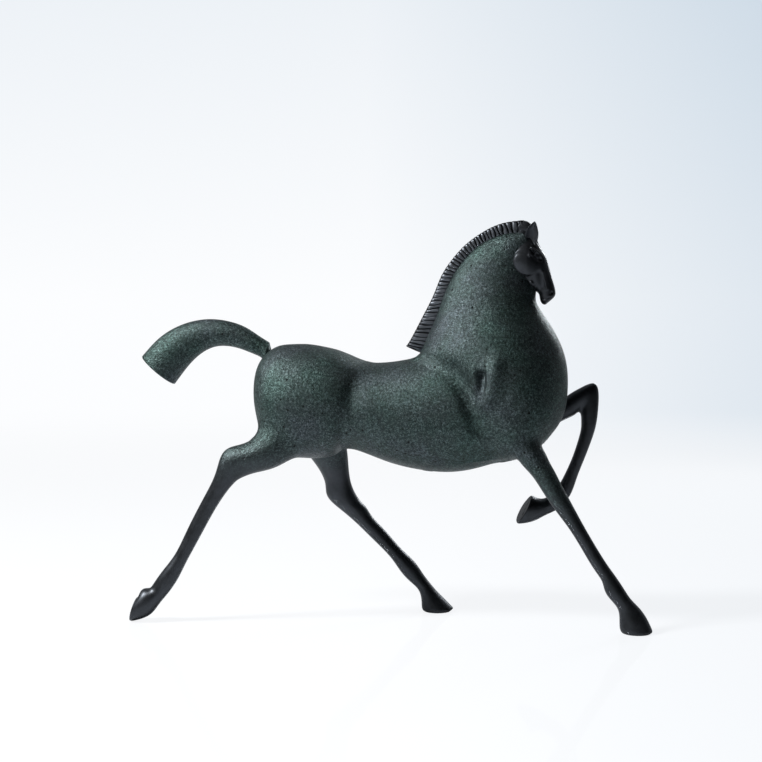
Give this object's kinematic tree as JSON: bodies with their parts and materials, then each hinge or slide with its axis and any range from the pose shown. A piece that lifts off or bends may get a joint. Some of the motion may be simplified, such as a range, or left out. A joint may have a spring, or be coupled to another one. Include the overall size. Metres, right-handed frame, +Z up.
{
  "type": "horse figurine",
  "caption": "Striding horse statuette in patinated cast bronze, full chest, arched neck with ribbed mane, raised foreleg and flared tail.",
  "frame": {"origin": "on the table, below the middle of the bounding box", "axes": "+X forward, from the tail to the chest; +Y to the horse's left; +Z up"},
  "size_m": [0.4199, 0.0942, 0.3269],
  "materials": {
    "patina_granular": "granular sand-cast surface under a dark green and black patina",
    "patina_smooth": "chased smooth, near-black patina, waxed",
    "bare_bronze": "bare bronze, turned or sawn, brazed in"
  },
  "bodies": {
    "root": {"hindquarters_shell": "patina_granular", "barrel_shell": "patina_granular", "forehand_shell": "patina_granular", "tail": "patina_granular", "tail_end_cap": "patina_smooth", "belly_plug": "patina_granular", "head": "patina_smooth", "right_ear": "patina_smooth", "left_ear": "patina_smooth", "forelock": "patina_smooth", "mane": "patina_smooth", "right_hind_leg": "patina_smooth", "left_hind_leg": "patina_smooth", "right_foreleg": "patina_smooth", "left_foreleg": "patina_smooth", "rear_sleeve": "bare_bronze", "front_sleeve": "bare_bronze", "mane_pins": "bare_bronze", "right_hind_leg_pin": "bare_bronze", "left_hind_leg_pin": "bare_bronze", "right_foreleg_pin": "bare_bronze", "left_foreleg_pin": "bare_bronze", "head_pin": "bare_bronze", "tail_pin": "bare_bronze"}
  },
  "joints": []
}
